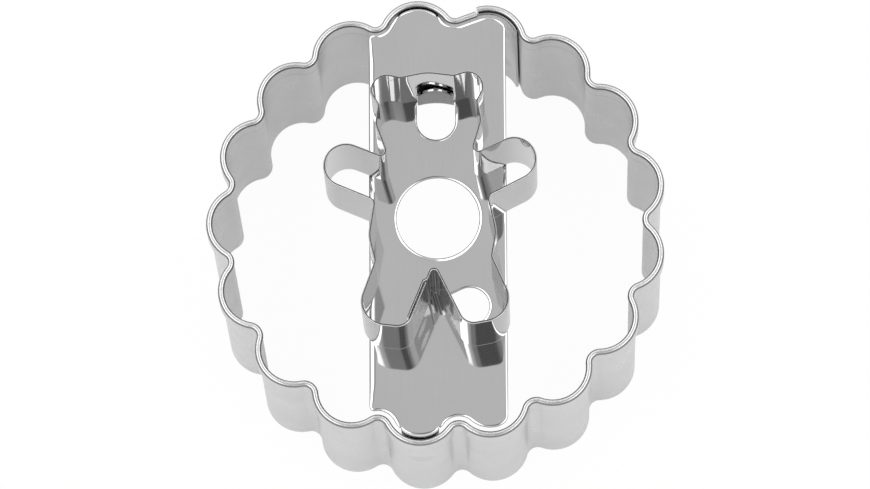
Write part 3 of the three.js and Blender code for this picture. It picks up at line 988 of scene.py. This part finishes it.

# The ring's marks by height: painted shade along the hem's lower line and on the rim's rounded sides, the
# whole rim darker and smoother, the cutting edge lighter and smoother.
hem_line = RIM_TOP - HEM_HEIGHT
ring_marks_and_shade = [
    # Painted shade under the hem's lower edge.
    (between_heights(hem_line - 0.02, hem_line + 0.12, 0.05), -0.16, 0.1),
    # Painted shade on the rim's rounded sides.
    (between_heights(RIM_TOP - 0.3, RIM_TOP - 0.06, 0.03), -0.26, 0.0),
    (between_heights(RIM_TOP - 0.5, BEAR_TOP, 0.1), -0.1, -0.05),
    (between_heights(-1, 0.25, 0.1), 0.1, -0.08),
    (weld_marks(*END_TAB_WELDS, *RING_SEAM_WELDS), -0.03, 0.06),
]
# The head tab's faces get painted shade; the end tabs' welds leave dull marks.
plate_marks_and_shade = [(tab_face_shade, -0.26, 0.42), (weld_marks(*END_TAB_WELDS), -0.08, 0.2)]
bear_marks = [(cut_edge, -0.53, 0.3), (weld_marks(*BEAR_WELDS), -0.05, 0.12)]
ring_steel = steel(
    "ring_sheet_steel", seed=1, tone=0.6, roughness=0.31,
    grain=STRIP_GRAIN, relief=0.012, marks_and_shade=ring_marks_and_shade,
)
plate_steel = steel(
    "plate_sheet_steel", seed=2, tone=0.58, roughness=0.05,
    grain=PLATE_GRAIN, relief=0.012, marks_and_shade=plate_marks_and_shade,
)
bear_steel = steel(
    "bear_sheet_steel", seed=3, tone=0.585, roughness=0.06,
    grain=STRIP_GRAIN, relief=0.006, marks_and_shade=bear_marks,
)
weld_steel = steel("spot_weld_steel", seed=4, tone=0.42, roughness=0.32, grain=WELD_GRAIN, relief=0.3)

make_ring(ring_steel)
make_bear(bear_steel)
make_plate(plate_steel)
make_head_weld(weld_steel)
for name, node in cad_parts.items():
    if "_weld" in name:
        for place in node.material_slots:
            place.material = weld_steel

# Floor and studio.

# The floor, in metres: a painted pool of light, dimming between two distances from the part. Its paint and
# white share in reflections are given near and far; its share of plain white to the camera leaves room for
# the shadow.
FLOOR_HALF = 3.0
FLOOR_DIMS = (0.04, 0.16)
FLOOR_PAINT_AND_LIGHT = (0.74, 0.45)
FLOOR_MIRRORED = (0.55, 0.1)
FLOOR_SEEN = 0.96

# The studio, as places on a plane one unit overhead, and how much each thing adds to the tent's level.
TENT_LEVEL = 0.76
LOWEST_OVERHEAD = 0.02
LEFT_BOX = (-0.85, -0.25)
RIGHT_BOX = (0.31, 0.85)
BOXES_ALONG = (-0.65, 0.8)
FAR_STRIP = (0.08, 0.85)
FAR_STRIP_ALONG = (0.37, 0.8)
BOX_SOFT = 0.02
BOX_END_SOFT = 0.05
BOX_LEVEL = 2.5
LEFT_GAP = (-0.25, -0.15, 0.04)
RIGHT_GAP = (0.2, 0.31, 0.05)
GAPS_FROM = (0.06, 0.14)
GAP_LEVEL = -0.32
CAMERA_SHADE = ((0.04, -0.25, 0), 0.22)
CAMERA_SHADE_LEVEL = -0.37
CAMERA_LENS = ((0.06, -0.22, 0), 0.1)
CAMERA_LENS_LEVEL = -0.24
CAMERA_SOFT = 0.04
FAR_WALL = (1.0, 2.2)
FAR_WALL_LEVEL = 0.5
NEAR_WALL = (-0.55, -1.2)
NEAR_WALL_LEVEL = 0.42
FAR_GLOW = (0.45, 0.75)
FAR_GLOW_LEVEL = 0.13
FAR_LINE = (0.36, 0.5, 0.06)
FAR_LINE_LEVEL = -0.1
HORIZON = (0.08, 0.3)
HORIZON_SHARES = (0.5, 1.0)

floor_mesh = bpy.data.meshes.new("floor")
floor_corners = [(-1, -1), (1, -1), (1, 1), (-1, 1)]
floor_mesh.from_pydata([(x * FLOOR_HALF, y * FLOOR_HALF, 0) for x, y in floor_corners], [], [(0, 1, 2, 3)])
floor = bpy.data.objects.new("floor", floor_mesh)
bpy.context.scene.collection.objects.link(floor)


def paint_floor():
    """White floor that keeps the part's shadow, with a painted pool of light near the part."""
    material = bpy.data.materials.new("white_floor")
    material.use_nodes = True
    tree = material.node_tree
    tree.nodes.clear()
    out = tree.nodes.new("ShaderNodeOutputMaterial")
    paint = tree.nodes.new("ShaderNodeBsdfDiffuse")
    off = distance_to(tree, tree.nodes.new("ShaderNodeTexCoord").outputs["Object"], (0, 0, 0))
    # Painted pool of light: the floor's paint is paler near the part than far off.
    tree.links.new(ramp(tree, off, *FLOOR_DIMS, *FLOOR_PAINT_AND_LIGHT), paint.inputs["Color"])
    white = tree.nodes.new("ShaderNodeEmission")
    white.inputs["Strength"].default_value = 1.0
    mix = tree.nodes.new("ShaderNodeMixShader")
    path = tree.nodes.new("ShaderNodeLightPath")
    seen = math_node(tree, "MULTIPLY", path.outputs["Is Camera Ray"], FLOOR_SEEN)
    bent = math_node(tree, "ADD", path.outputs["Is Glossy Ray"], path.outputs["Is Transmission Ray"], True)
    # Painted pool of light in reflections: more plain white near the part.
    bent = math_node(tree, "MULTIPLY", bent, ramp(tree, off, *FLOOR_DIMS, *FLOOR_MIRRORED))
    share = math_node(tree, "ADD", seen, bent, True)
    tree.links.new(share, mix.inputs[0])
    tree.links.new(paint.outputs[0], mix.inputs[1])
    tree.links.new(white.outputs[0], mix.inputs[2])
    tree.links.new(mix.outputs[0], out.inputs[0])
    floor_mesh.materials.append(material)


def light_studio():
    """A pale tent, fixed in the room: two soft boxes overhead, joined by a strip at their far end, with dark
    gaps beside them, brighter far and near walls, and the dark camera. x and y are where a direction meets
    a plane one unit overhead."""
    world = bpy.data.worlds.new("studio")
    bpy.context.scene.world = world
    world.use_nodes = True
    tree = world.node_tree
    background = tree.nodes["Background"]
    background.inputs["Color"].default_value = (1, 1, 1, 1)
    split = parts_of(tree, tree.nodes.new("ShaderNodeTexCoord").outputs["Generated"])
    height = math_node(tree, "MAXIMUM", split["Z"], LOWEST_OVERHEAD)
    x = math_node(tree, "DIVIDE", split["X"], height)
    y = math_node(tree, "DIVIDE", split["Y"], height)
    joined = tree.nodes.new("ShaderNodeCombineXYZ")
    tree.links.new(x, joined.inputs[0])
    tree.links.new(y, joined.inputs[1])

    def box(across, along, end_soft, value):
        wide = band(tree, value, *across, BOX_SOFT)
        return math_node(tree, "MULTIPLY", wide, band(tree, y, *along, end_soft))

    def disc(place, radius):
        return band(tree, distance_to(tree, joined.outputs[0], place), NO_LOWER_END, radius, CAMERA_SOFT)

    left = box(LEFT_BOX, BOXES_ALONG, BOX_END_SOFT, x)
    right = box(RIGHT_BOX, BOXES_ALONG, BOX_END_SOFT, x)
    far = box(FAR_STRIP, FAR_STRIP_ALONG, BOX_SOFT, math_node(tree, "ABSOLUTE", x))
    boxes = math_node(tree, "MAXIMUM", math_node(tree, "ADD", left, right), far)
    gaps = math_node(tree, "ADD", band(tree, x, *LEFT_GAP), band(tree, x, *RIGHT_GAP))
    gaps = math_node(tree, "MULTIPLY", gaps, ramp(tree, y, *GAPS_FROM))
    tent = total(
        tree, TENT_LEVEL,
        (boxes, BOX_LEVEL),
        (gaps, GAP_LEVEL),
        (disc(*CAMERA_SHADE), CAMERA_SHADE_LEVEL),
        (disc(*CAMERA_LENS), CAMERA_LENS_LEVEL),
        (ramp(tree, y, *FAR_WALL), FAR_WALL_LEVEL),
        (ramp(tree, y, *NEAR_WALL), NEAR_WALL_LEVEL),
        (ramp(tree, y, *FAR_GLOW), FAR_GLOW_LEVEL),
        (band(tree, y, *FAR_LINE), FAR_LINE_LEVEL),
    )
    horizon = ramp(tree, split["Z"], *HORIZON, *HORIZON_SHARES)
    tree.links.new(math_node(tree, "MULTIPLY", tent, horizon), background.inputs["Strength"])


# Camera: its directions, how far its aim is off the middle of the rim, and its distance, in millimetres.
VIEW_BACK = (0.0186, -0.2531, 0.9673)
VIEW_RIGHT = (0.9998, -0.0044, -0.0204)
AIM_LEFT = 0.168
AIM_BELOW = 2.617
VIEW_DISTANCE = 800
SENSOR_WIDTH = 36
FOCAL_LENGTH = 301.9
CLIP_START = 0.05
CLIP_END = 20


def place_camera():
    back = Vector(VIEW_BACK).normalized()
    right = Vector(VIEW_RIGHT)
    right = (right - back * right.dot(back)).normalized()
    above = back.cross(right)
    target = Vector((RING_AXIS.x, RING_AXIS.y, RIM_TOP)) - right * AIM_LEFT - above * AIM_BELOW
    camera = bpy.data.cameras.new("camera")
    camera.sensor_width = SENSOR_WIDTH
    camera.lens = FOCAL_LENGTH
    camera.clip_start = CLIP_START
    camera.clip_end = CLIP_END
    viewer = bpy.data.objects.new("camera", camera)
    bpy.context.scene.collection.objects.link(viewer)
    turn = Matrix((right, above, back)).transposed().to_4x4()
    viewer.matrix_world = Matrix.Translation((target + back * VIEW_DISTANCE) * MM) @ turn
    bpy.context.scene.camera = viewer


paint_floor()
light_studio()
place_camera()
